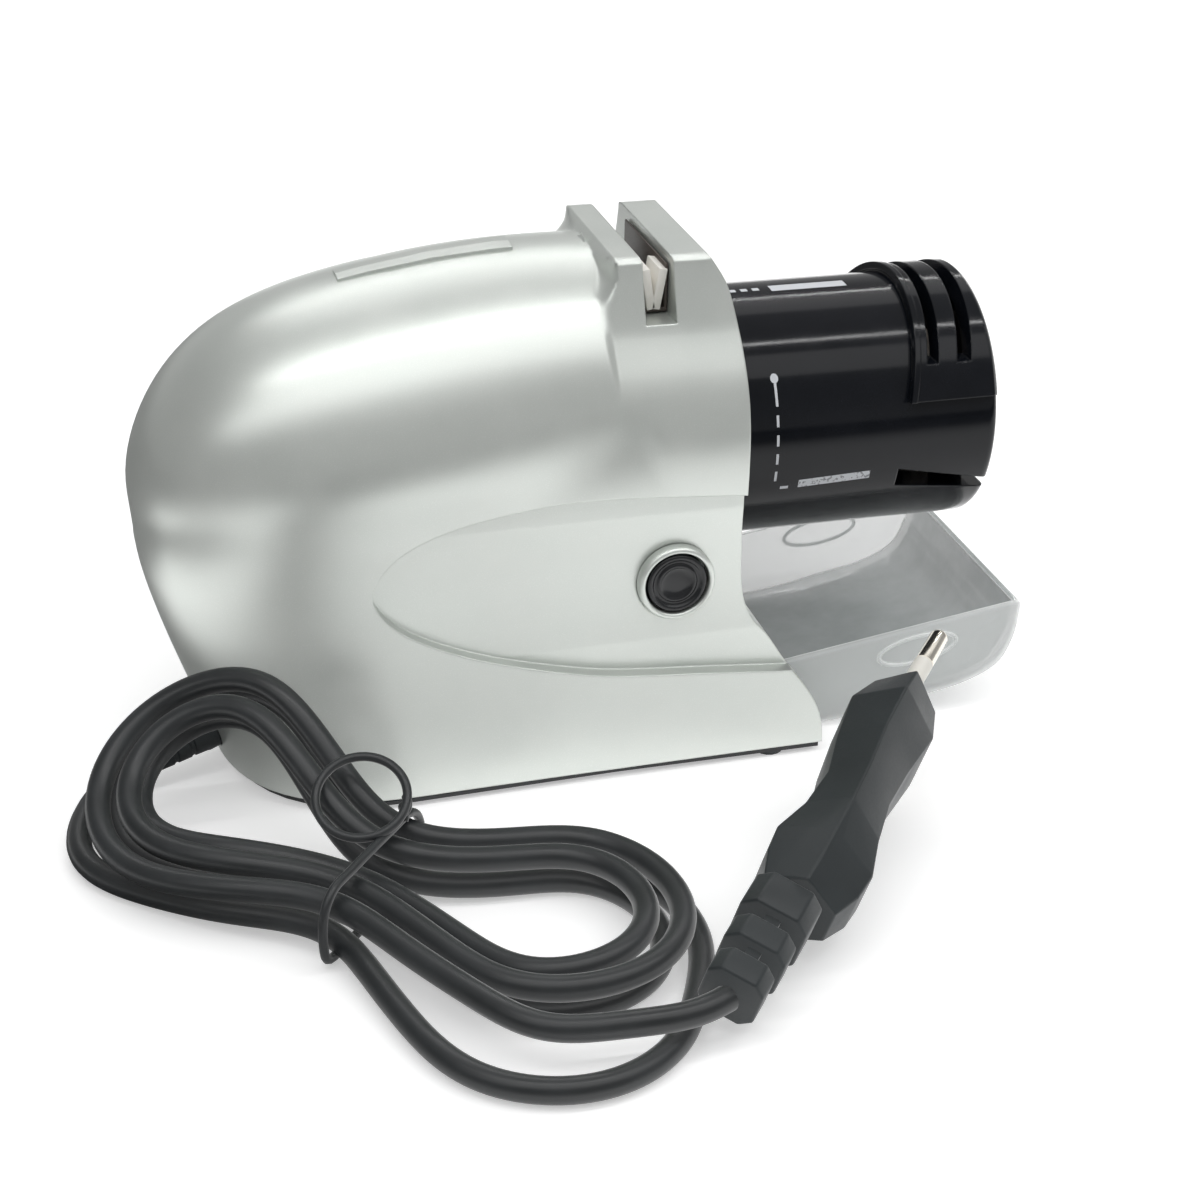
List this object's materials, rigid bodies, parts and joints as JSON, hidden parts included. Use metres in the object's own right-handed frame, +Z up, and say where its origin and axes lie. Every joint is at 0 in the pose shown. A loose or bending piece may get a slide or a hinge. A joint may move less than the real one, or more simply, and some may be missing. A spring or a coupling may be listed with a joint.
{
  "type": "electric knife sharpener",
  "caption": "Barrel-nosed electric sharpener case with a knife guide on top, a turning slotted head, a clear shavings tray and a tied mains cord with plug.",
  "frame": {"origin": "middle of the case's footprint, on the table under the feet", "axes": "+X from the rounded nose towards the turning head, the case's long direction; +Z up; the button and the cord are on the -Y side"},
  "size_m": [0.2107, 0.1881, 0.107],
  "materials": {
    "silver_case": "satin metallic silver paint",
    "gloss_black": "polished black",
    "dark_plastic": "fine grained moulding",
    "rubber_black": "matt rubber",
    "cord_black": "smooth flexible PVC",
    "screw_steel": "zinc plated",
    "holder_brown": "matt",
    "ceramic_white": "fired ceramic, slightly rough",
    "clear_plastic": "clear, polished",
    "bearing_brass": "turned",
    "winding_copper": "enamelled wire and copper bars",
    "magnet_grey": "sintered ferrite",
    "carbon_black": "matt",
    "wheel_stone": "fine bonded abrasive",
    "board_green": "lacquered laminate",
    "sleeve_white": "moulded sleeve",
    "pin_nickel": "nickel plated brass"
  },
  "bodies": {
    "case": {"top_plate": "silver_case", "upper_housing": "silver_case", "base_plate": "dark_plastic", "foot_1": "rubber_black", "foot_2": "rubber_black", "foot_3": "rubber_black", "foot_4": "rubber_black", "base_screw_1": "screw_steel", "base_screw_2": "screw_steel", "base_screw_3": "screw_steel", "base_screw_4": "screw_steel", "honing_holder": "holder_brown", "honing_plate_left": "ceramic_white", "honing_plate_right": "ceramic_white", "button_bezel": "silver_case", "switch_body": "dark_plastic", "motor_can": "screw_steel", "motor_end_cap": "dark_plastic", "shaft_bush_front": "bearing_brass", "motor_magnet_upper": "magnet_grey", "motor_magnet_lower": "magnet_grey", "brush_near": "carbon_black", "brush_far": "carbon_black", "motor_bracket": "screw_steel", "motor_screw_1": "screw_steel", "motor_screw_2": "screw_steel", "bracket_screw_1": "screw_steel", "bracket_screw_2": "screw_steel", "circuit_board": "board_green", "capacitor": "carbon_black", "rectifier": "carbon_black", "cord_gland": "cord_black", "cord_hank": "cord_black", "plug_body": "cord_black", "pin_sleeve_1": "sleeve_white", "plug_pin_1": "pin_nickel", "pin_sleeve_2": "sleeve_white", "plug_pin_2": "pin_nickel", "plug_strain_relief": "cord_black", "cord_lead": "cord_black", "cord_tail": "cord_black", "cord_tie": "cord_black"},
    "turning_ring": {"head_ring": "dark_plastic"},
    "sharpening_head": {"head_sleeve": "gloss_black"},
    "tray": {"shavings_tray": "clear_plastic"},
    "button": {"button_cap": "gloss_black"},
    "rotor": {"motor_shaft": "screw_steel", "armature": "winding_copper", "commutator": "winding_copper", "wheel_hub": "screw_steel", "grinding_wheel": "wheel_stone", "wheel_nut": "bearing_brass"}
  },
  "joints": [
    {"name": "head_turn", "type": "hinge", "parent": "case", "child": "turning_ring", "pos_m": [0.0248, 0, 0.065], "axis": [1, 0, 0], "range_deg": [-110, 0]},
    {"name": "head_pull", "type": "slide", "parent": "turning_ring", "child": "sharpening_head", "axis": [1, 0, 0], "range_m": [0, 0.07]},
    {"name": "tray_slide", "type": "slide", "parent": "case", "child": "tray", "axis": [1, 0, 0], "range_m": [0, 0.075]},
    {"name": "button_press", "type": "slide", "parent": "case", "child": "button", "axis": [0, 1, 0], "range_m": [0, 0.002], "stiffness_N_per_m": 800},
    {"name": "rotor_spin", "type": "hinge", "parent": "case", "child": "rotor", "pos_m": [0, 0, 0.065], "axis": [1, 0, 0], "continuous": true}
  ]
}
